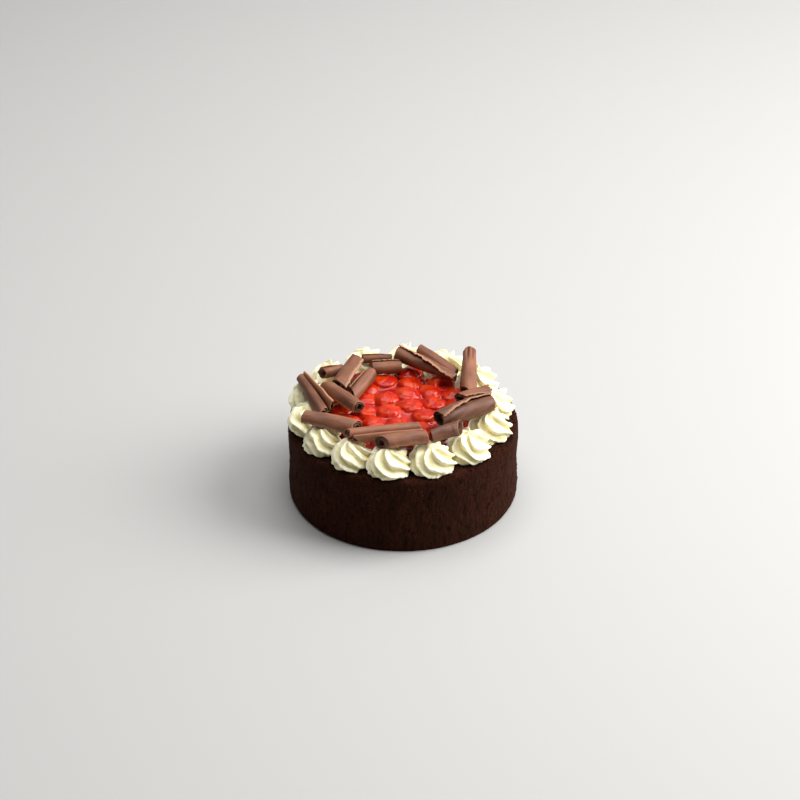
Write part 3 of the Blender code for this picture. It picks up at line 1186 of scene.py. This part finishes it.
@dataclass
class Shavings:
    """Small dark flakes of chocolate caught between the fruit and the cream; darkened and packed at the
    front, they also stand for the shade in the gaps there.
    """

    material: bpy.types.Material
    seed: int = 23
    inner: float = 50.0 * MM
    outer: float = 58.0 * MM
    count: int = 70
    # The front flakes fill the gaps at the front as a dark stand-in for shade.
    front_count: int = 14
    front_angles: Pair = (-1.75, -1.25)
    front_inset: float = 3.0 * MM
    top_height: float = 7.5
    fall: float = 0.55
    length: Pair = (2.2, 5.0)
    width: Pair = (1.2, 2.6)
    thickness: float = 0.8 * MM
    # Darkens the flakes: partly dark chocolate, partly painted shade in the gaps they fill.
    tone: float = -0.7

    @staticmethod
    def flake(bm: bmesh.types.BMesh, place: Vector, size: Pair, chance: random.Random) -> None:
        """Add one bent flake.

        Args:
            bm: Mesh that gets the flake.
            place: Its middle.
            size: Its length and width.
            chance: Source of its tilt and bend.
        """
        made = bmesh.ops.create_grid(bm, x_segments=5, y_segments=3, size=0.5)["verts"]
        bmesh.ops.scale(bm, vec=(size[0], size[1], 1.0), verts=made)
        bend = chance.uniform(-0.35, 0.35) / size[0]
        for vert in made:
            vert.co.z += bend * vert.co.x**2 * 4.0
            vert.co += Vector([chance.uniform(-0.12, 0.12) * size[1] for _ in range(3)])
        turn = Matrix.Rotation(chance.uniform(0.0, TAU), 4, "Z")
        turn = turn @ Matrix.Rotation(chance.uniform(-0.5, 0.5), 4, "X")
        bmesh.ops.transform(bm, matrix=Matrix.Translation(place) @ turn, verts=made)

    def build(self) -> bpy.types.Object:
        """Build all the flakes as one piece.

        Returns:
            The new piece.
        """
        chance = random.Random(self.seed)
        low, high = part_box("cherry_gel")
        middle = 0.5 * (low + high)
        bm = bmesh.new()
        for number in range(self.count):
            front = number < self.front_count
            angle = chance.uniform(*(self.front_angles if front else (0.0, TAU)))
            reach = chance.uniform(self.inner + (self.front_inset if front else 0.0), self.outer)
            place = Vector((middle.x + reach * math.cos(angle), middle.y + reach * math.sin(angle), 0.0))
            level = self.top_height - self.fall * (reach - self.inner) / MM
            place.z = low.z + (level + chance.uniform(0.0, 1.6)) * MM
            size = (chance.uniform(*self.length) * MM, chance.uniform(*self.width) * MM)
            self.flake(bm, place, size, chance)
        bmesh.ops.solidify(bm, geom=bm.faces[:] + bm.edges[:] + bm.verts[:], thickness=self.thickness)
        sheet = bm.verts.layers.float_vector.new("sheet")
        tone = bm.verts.layers.float.new("tone")
        for vert in bm.verts:
            vert[sheet] = vert.co
            vert[tone] = self.tone
        bmesh.ops.recalc_face_normals(bm, faces=bm.faces)
        return finish_piece(bm, "chocolate_shavings", self.material)


# ------------------------------------------------------------------ cherries and juice


@dataclass(frozen=True)
class CherryPlace:
    """Where a cherry's solid lies: its centre, half sizes and turn about Z."""

    centre: Vector
    half: Vector
    turn: float

    @classmethod
    def from_node(cls, node: str) -> "CherryPlace":
        """Measure a cherry's solid.

        Args:
            node: Name of the solid.

        Returns:
            Its place.
        """
        low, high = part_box(node)
        centre = 0.5 * (low + high)
        points = np.array([vert.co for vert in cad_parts[node].data.vertices], float)[:, :2]
        points -= points.mean(0)
        minor, major = np.linalg.eigh(np.cov(points.T))[1].T
        turn = math.atan2(major[1], major[0])
        along = np.abs(points @ major).max()
        across = np.abs(points @ minor).max()
        return cls(centre, Vector((float(along), float(across), 0.5 * (high.z - low.z))), turn)

    def nearness(self, x: float, y: float) -> float:
        """Measure how near a place is to the cherry, seen from above.

        Args:
            x: Place on X.
            y: Place on Y.

        Returns:
            0 at the cherry's middle and 1 at its outline.
        """
        dx, dy = x - self.centre.x, y - self.centre.y
        cos, sin = math.cos(self.turn), math.sin(self.turn)
        return math.hypot((dx * cos + dy * sin) / self.half.x, (dy * cos - dx * sin) / self.half.y)


@dataclass
class Cherry:
    """One stewed cherry, a little squashed, dimpled and creased; a nudge is in millimetres."""

    MOUTH: ClassVar[Vector] = Vector((0.30, -0.72, 0.62)).normalized()

    number: int
    torn: bool = False
    swell: float = 1.24
    squash: float = 0.70
    nudge: Triple = (0.0, 0.0, 0.0)
    crease: float = 0.54 * MM
    bite: float = 5.2 * MM
    bite_rim: float = 0.9 * MM

    def skin(self, direction: Vector, place: CherryPlace, seed: float) -> tuple[Vector, float]:
        """Place one point of the skin.

        Args:
            direction: Unit direction from the centre.
            place: Where the cherry lies.
            seed: Shifts the unevenness.

        Returns:
            The point, and how deep in the torn pit it lies from 0 to 1, which also sets the painted shade
            inside the pit.
        """
        turn = Matrix.Rotation(place.turn, 3, "Z")
        boxy = Vector([math.copysign(abs(value) ** 0.90, value) for value in direction]).normalized()
        shape = direction.lerp(boxy, 0.8)
        wide = self.swell * (1.0 + 0.10 * noise.noise(Vector((seed * 5.1, 2.0, 0.0))))
        half = place.half
        point = Vector((
            shape.x * half.x * wide, shape.y * half.y * self.swell, shape.z * half.z * self.squash,
        ))
        point.z += (0.98 - self.squash) * half.z
        tilt = TAU * noise.noise(Vector((seed * 3.7, 1.0, 0.0)))
        plane = Vector((math.cos(tilt), math.sin(tilt), 0.25)).normalized()
        groove = math.exp(-((direction.dot(plane) / 0.10) ** 2)) * smooth_step(-0.2, 0.9, direction.z)
        lumps = 1.10 * noise.noise(direction * 1.5 + Vector((seed, 0.0, 0.0)))
        lumps += 0.20 * noise.noise(direction * 3.2 + Vector((0.0, seed, 0.0)))
        point += direction * (lumps * MM - groove * self.crease)
        depth = 0.0
        if self.torn:
            angle = direction.angle(turn.transposed() @ self.MOUTH) + 0.16 * noise.noise(direction * 3.0)
            depth = 1.0 - smooth_step(0.42, 0.72, angle)
            point -= direction * (depth * self.bite)
            point += direction * (self.bite_rim * math.exp(-(((angle - 0.78) / 0.14) ** 2)))
        return turn @ point + place.centre + Vector(self.nudge) * MM, depth

    def build(self, material: bpy.types.Material) -> bpy.types.Object:
        """Build the cherry in the place of its solid.

        Args:
            material: The cherry finish.

        Returns:
            The new piece.
        """
        node = f"cherry_{self.number:02d}"
        place = CherryPlace.from_node(node)
        bm = bmesh.new()
        bmesh.ops.create_icosphere(bm, subdivisions=5, radius=1.0)
        # The depth in the torn pit carries the painted shade inside it.
        hollow_shade = bm.verts.layers.float.new("hollow_shade")
        for vert in bm.verts:
            vert.co, vert[hollow_shade] = self.skin(vert.co.normalized(), place, float(self.number))
        return finish_piece(bm, f"cherry_fruit_{self.number:02d}", material, (node,))


def cherry_nodes() -> list[str]:
    """Return the names of the cherries' solids in order."""
    return sorted(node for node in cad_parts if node.startswith("cherry_") and node != "cherry_gel")


def cherries() -> list[Cherry]:
    """List the cherries; the fourth is torn, and it and the first stand proud.

    Returns:
        The cherries in order.
    """
    proud = {1: (0.0, -2.0, 1.2), 4: (3.5, -5.0, 3.0)}
    numbers = range(1, len(cherry_nodes()) + 1)
    return [
        Cherry(number, torn=number == 4, nudge=proud.get(number, (0.0, 0.0, 0.0))) for number in numbers
    ]


@dataclass
class JuicePool:
    """The set juice that fills the ring and climbs a little up every cherry."""

    finish: SetJuice = field(default_factory=SetJuice)
    node: str = "cherry_gel"
    freeboard: float = 4.1 * MM
    climb: float = 1.7 * MM
    ripple: float = 0.5 * MM
    rim_height: float = 1.0 * MM
    bare_height: float = 9.0 * MM
    overlap: float = 0.985
    squares: int = 200

    def height(self, x: float, y: float, share: float, base: float, cherries: list[CherryPlace]) -> float:
        """Return the juice's level at a place on the pool.

        Args:
            x: Place on X.
            y: Place on Y.
            share: Distance from the pool's middle as a share of its radius there.
            base: Height of the sponge's top.
            cherries: The cherries that stand in the juice.

        Returns:
            The height in metres.
        """
        shore = 1.0 - smooth_step(0.80, 1.0, share)
        weight, level, film = 1e-4, 1e-4 * (base + self.bare_height), 0.0
        for cherry in cherries:
            near = cherry.nearness(x, y)
            if near < 3.5:
                pull = math.exp(-((near / 0.9) ** 2))
                weight += pull
                level += pull * (cherry.centre.z + cherry.half.z - self.freeboard)
                film += math.exp(-(((near - 1.05) / 0.22) ** 2))
        surface = level / weight + self.climb * (min(1.2, film) - 0.9)
        surface += self.ripple * wave(Vector((x, y, 0.0)), 8.0 * MM, 3.0)
        return base + self.rim_height + (surface - base - self.rim_height) * shore

    def build(self) -> bpy.types.Object:
        """Build the pool.

        Returns:
            The new piece.
        """
        low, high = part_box(self.node)
        middle = 0.5 * (low + high)
        reach = 0.5 * (high.x - low.x) * self.overlap
        cherries = [CherryPlace.from_node(node) for node in cherry_nodes()]
        bm = bmesh.new()
        bmesh.ops.create_grid(bm, x_segments=self.squares, y_segments=self.squares, size=1.0)
        for vert in bm.verts:
            x, y = vert.co.x, vert.co.y
            disc = Vector((x * math.sqrt(1.0 - 0.5 * y * y), y * math.sqrt(1.0 - 0.5 * x * x), 0.0))
            angle = math.atan2(disc.y, disc.x)
            edge = reach * (1.0 + 0.018 * math.sin(5.0 * angle) + 0.012 * math.sin(11.0 * angle + 1.0))
            place = Vector((middle.x, middle.y, 0.0)) + disc * edge
            place.z = self.height(place.x, place.y, disc.length, low.z, cherries)
            vert.co = place
        rim = [item for item in bm.edges if item.is_boundary]
        made = bmesh.ops.extrude_edge_only(bm, edges=rim)["geom"]
        for item in made:
            if isinstance(item, bmesh.types.BMVert):
                item.co.z = low.z - 0.1 * MM
        bmesh.ops.holes_fill(bm, edges=[item for item in bm.edges if item.is_boundary], sides=0)
        bmesh.ops.recalc_face_normals(bm, faces=bm.faces)
        material = self.finish.material()
        return finish_piece(bm, "set_cherry_juice", material, (self.node,))


# ------------------------------------------------------------------ cream rosettes


@dataclass
class Rosette:
    """One star swirl of whipped cream, with ridges that wind outward from a soft, curled top."""

    number: int
    ridges: int = 7
    winding: float = math.radians(104.0)
    steps: int = 224
    rows: int = 68
    depth: float = 0.23
    looseness: float = 3.0
    swirl: float = 1.5 * MM
    tooth: float = 0.65 * MM
    frill: float = 1.8 * MM
    lean: float = 3.0 * MM
    tall: float = 20.5 * MM
    usual_radius: float = 16.6 * MM
    outline: tuple[Pair, ...] = (
        (0.000, 0.000), (0.550, 0.000), (0.850, 0.000), (0.960, 0.045), (1.000, 0.160), (0.985, 0.300),
        (0.930, 0.460), (0.830, 0.630), (0.680, 0.780), (0.470, 0.900), (0.230, 0.975), (0.000, 1.000),
    )

    @staticmethod
    def ridge(phase: float) -> float:
        """Return 1 on a ridge's rounded crest and 0 in the broad trough beside it, where the painted shade
        of the cream is deepest.
        """
        leaning = phase + 0.55 * math.sin(phase + 0.5)
        return max(0.0, 0.5 + 0.5 * math.cos(leaning)) ** 0.75

    def shape(self, point: Vector, size: Pair, seed: float) -> tuple[Vector, float]:
        """Turn one point of the plain dome into piped cream.

        Args:
            point: Place on the dome, about the rosette's own foot.
            size: Radius and height of the rosette.
            seed: Shifts the unevenness.

        Returns:
            The place, and its painted shade from 0 on a crest to 1 deep between the ridges and in the curl
            of the top.
        """
        radius, height = size
        rise = max(0.0, point.z / height)
        reach = math.hypot(point.x, point.y)
        angle = math.atan2(point.y, point.x)
        share = reach / radius
        loose = noise.noise(Vector((seed * 2.3, math.cos(angle) * 1.3, math.sin(angle) * 1.3 + rise)))
        twist = self.winding * math.sin(0.5 * math.pi * min(1.0, rise)) + 0.9 * (1.0 - min(1.0, share)) ** 2
        phase = self.ridges * (angle + twist + seed * 0.61) + self.looseness * loose
        index = math.floor(phase / TAU + 0.5)
        own = noise.noise(Vector((index * 3.31, seed * 7.7, 0.3)))
        crest = self.ridge(phase)
        strength = self.depth * (1.0 + 0.9 * own) * smooth_step(0.12, 0.60, share)
        strength *= 0.55 + 0.45 * smooth_step(0.0, 0.35, rise)
        push = radius * (strength * (crest - 0.50) + 0.05 * own * smooth_step(0.2, 0.6, share))
        fine = 0.28 * MM * noise.noise(Vector((phase * 0.9, rise * 6.0, seed)))
        fine += 0.10 * MM * noise.noise(point / (1.4 * MM) + Vector((seed, seed, 0.0)))
        teeth = noise.noise(point / (2.6 * MM) + Vector((seed, 0.0, seed)))
        fine += self.tooth * crest * smooth_step(0.3, 0.8, share) * teeth
        waves = noise.noise(Vector((math.cos(angle) * 5.0, math.sin(angle) * 5.0, seed + rise * 3.0)))
        frill = self.frill * (1.0 - smooth_step(0.05, 0.45, rise)) * waves
        slope = Vector((point.x, point.y, 0.8 * height * rise**1.5))
        outward = slope.normalized() if slope.length > 1e-9 else Vector((0.0, 0.0, 1.0))
        flat = smooth_step(0.0, 0.02, rise)
        way = (push + fine + frill) * flat + push * (1.0 - flat) * smooth_step(0.3, 0.9, share)
        moved = point + outward * way
        curl = angle + seed * 1.9 + 4.2 * share
        top = (1.0 - smooth_step(0.20, 0.62, share)) * smooth_step(0.5, 0.8, rise)
        moved.z += self.swirl * top * math.cos(curl) * smooth_step(0.0, 0.25, share)
        sideways = Vector((-math.sin(angle), math.cos(angle), 0.0))
        moved -= sideways * (radius * 0.06 * crest * share)
        moved.z = max(0.0, moved.z)
        # Painted shade: dark deep between the ridges and in the curl of the top, none on the crests.
        fold_shade = max(0.95 - crest * 1.3, 0.6 * top * (0.5 - 0.5 * math.cos(curl)))
        return moved, min(1.0, max(0.0, fold_shade))

    def build(self, material: bpy.types.Material, laid: list[CurlPlace]) -> bpy.types.Object:
        """Build the rosette in the place of its solid.

        Args:
            material: The cream finish.
            laid: The curls that press into the cream.

        Returns:
            The new piece.
        """
        node = f"rosette_{self.number:02d}"
        low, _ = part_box(node)
        solid = [vert.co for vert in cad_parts[node].data.vertices]
        points = [point for point in solid if point.z < low.z + 0.1 * MM]
        foot = sum(points, Vector()) / len(points)
        radius = max(math.hypot(point.x - foot.x, point.y - foot.y) for point in solid)
        height = self.tall * (0.80 + 0.20 * radius / self.usual_radius)
        seed = float(self.number)
        dome = [along_curve(self.outline, row / self.rows) for row in range(self.rows + 1)]
        bm = spin_profile([(reach * radius, rise * height) for reach, rise in dome], self.steps)
        fold_shade = bm.verts.layers.float.new("fold_shade")
        lean = Vector((noise.noise(Vector((seed, 3.0, 0.0))), noise.noise(Vector((seed, 5.0, 0.0))), 0.0))
        lean *= self.lean
        close = [curl for curl in laid if curl.near(foot, 1.4 * radius + height)]
        for vert in bm.verts:
            moved, depth = self.shape(vert.co, (radius, height), seed)
            moved += foot + lean * smooth_step(0.3, 1.0, moved.z / height)
            for curl in close:
                moved = curl.clear_of(moved, 0.1 * MM)
            vert.co = moved
            # The second value from the shape is the painted shade for the cream's colour.
            vert[fold_shade] = depth
        name = f"cream_rosette_{self.number:02d}"
        return finish_piece(bm, name, material, (node,))


# ------------------------------------------------------------------ studio


@dataclass(frozen=True)
class Lamp:
    """One square soft light that faces the cake; its power is in watts."""

    name: str
    place: Triple
    power: float
    colour: Triple
    size: float = 1.5
    aim: Triple = (0.0, 0.0, 0.06)

    def hang(self) -> None:
        """Add the light to the scene."""
        data = bpy.data.lights.new(self.name, "AREA")
        data.shape = "SQUARE"
        data.size = self.size
        data.energy = self.power
        data.color = self.colour
        light = bpy.data.objects.new(self.name, data)
        light.location = self.place
        light.rotation_euler = (Vector(self.aim) - Vector(self.place)).to_track_quat("-Z", "Y").to_euler()
        bpy.context.scene.collection.objects.link(light)


@dataclass
class Studio:
    """Plain pale paper sweep, soft light from the right and from above, and the camera."""

    paper: StudioPaper = field(default_factory=StudioPaper)
    lamps: tuple[Lamp, ...] = (
        Lamp("key_light", (1.62, 0.02, 1.30), 72.0, (1.0, 0.985, 0.96)),
        Lamp("top_light", (0.1, 0.14, 1.9), 30.0, (1.0, 0.99, 0.97)),
    )
    air: Colour = (1.0, 0.98, 0.94, 1.0)
    air_strength: float = 0.14
    camera_place: Triple = (-0.0025, -1.6087, 1.1040)
    camera_pitch: float = 32.416
    lens: float = 108.0
    sensor: float = 36.0
    farthest: float = 20.0
    half_floor: float = 3.0
    wall_distance: float = 1.05
    wall_height: float = 3.0
    bend: float = 0.04
    bend_steps: int = 8

    @staticmethod
    def draw_out(bm: bmesh.types.BMesh, edges: list[bmesh.types.BMEdge], y: float, z: float) -> list:
        """Extrude a level line of the paper to a new place.

        Args:
            bm: The paper.
            edges: Edges of the line.
            y: Distance of the new line.
            z: Height of the new line.

        Returns:
            The edges of the new line.
        """
        made = bmesh.ops.extrude_edge_only(bm, edges=edges)["geom"]
        ends = [item for item in made if isinstance(item, bmesh.types.BMVert)]
        for vert in ends:
            vert.co.y, vert.co.z = y, z
        lines = [item for item in made if isinstance(item, bmesh.types.BMEdge)]
        return [item for item in lines if all(vert in ends for vert in item.verts)]

    def sweep(self) -> None:
        """Lay the floor and turn it up into a wall behind the cake."""
        bm = bmesh.new()
        bmesh.ops.create_grid(bm, x_segments=1, y_segments=1, size=self.half_floor)
        edge = [item for item in bm.edges if all(vert.co.y > 0.0 for vert in item.verts)]
        for vert in bm.verts:
            if vert.co.y > 0.0:
                vert.co.y = self.wall_distance
        for step in range(1, self.bend_steps + 1):
            turn = 0.5 * math.pi * step / self.bend_steps
            y = self.wall_distance + self.bend * math.sin(turn)
            edge = self.draw_out(bm, edge, y, self.bend * (1.0 - math.cos(turn)))
        self.draw_out(bm, edge, self.wall_distance + self.bend, self.wall_height)
        for face in bm.faces:
            face.smooth = True
        mesh = bpy.data.meshes.new("paper_sweep")
        bm.to_mesh(mesh)
        bm.free()
        mesh.materials.append(self.paper.material())
        floor = bpy.data.objects.new("paper_sweep", mesh)
        bpy.context.scene.collection.objects.link(floor)

    def build(self) -> None:
        """Set the floor, the lights, the surround and the camera."""
        self.sweep()
        for lamp in self.lamps:
            lamp.hang()
        scene = bpy.context.scene
        world = bpy.data.worlds.new("studio_air")
        world.use_nodes = True
        sky = world.node_tree.nodes["Background"].inputs
        sky["Color"].default_value = self.air
        sky["Strength"].default_value = self.air_strength
        scene.world = world
        scene.view_settings.view_transform = "Standard"
        scene.view_settings.look = "None"
        data = bpy.data.cameras.new("camera")
        data.lens = self.lens
        data.sensor_width = self.sensor
        data.clip_end = self.farthest
        camera = bpy.data.objects.new("camera", data)
        camera.location = self.camera_place
        camera.rotation_euler = (math.radians(90.0 - self.camera_pitch), 0.0, 0.0)
        scene.collection.objects.link(camera)
        scene.camera = camera


def main() -> None:
    """Build the cake's pieces in order and report each one."""
    logging.basicConfig(level=logging.INFO, format="%(name)s: %(message)s")
    Studio().build()
    sponge = Sponge()
    pieces = [sponge.build()]
    pieces.append(LooseCrumbs(pieces[0].data.materials[0], sponge).build())
    pieces.append(JuicePool().build())
    flesh = CherryFlesh().material()
    pieces += [cherry.build(flesh) for cherry in cherries()]
    chocolate = MilkChocolate().material()
    laid = [CurlPlace.from_node(f"curl_{curl.letter}") for curl in curls()]
    pieces += [curl.build(chocolate) for curl in curls()]
    pieces.append(Shavings(chocolate).build())
    cream = PipedCream().material()
    rosettes = sorted(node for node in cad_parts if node.startswith("rosette_"))
    pieces += [Rosette(number).build(cream, laid) for number in range(1, len(rosettes) + 1)]
    for piece in pieces:
        LOG.info("%s: %d faces", piece.name, len(piece.data.polygons))


if __name__ == "__main__":
    main()
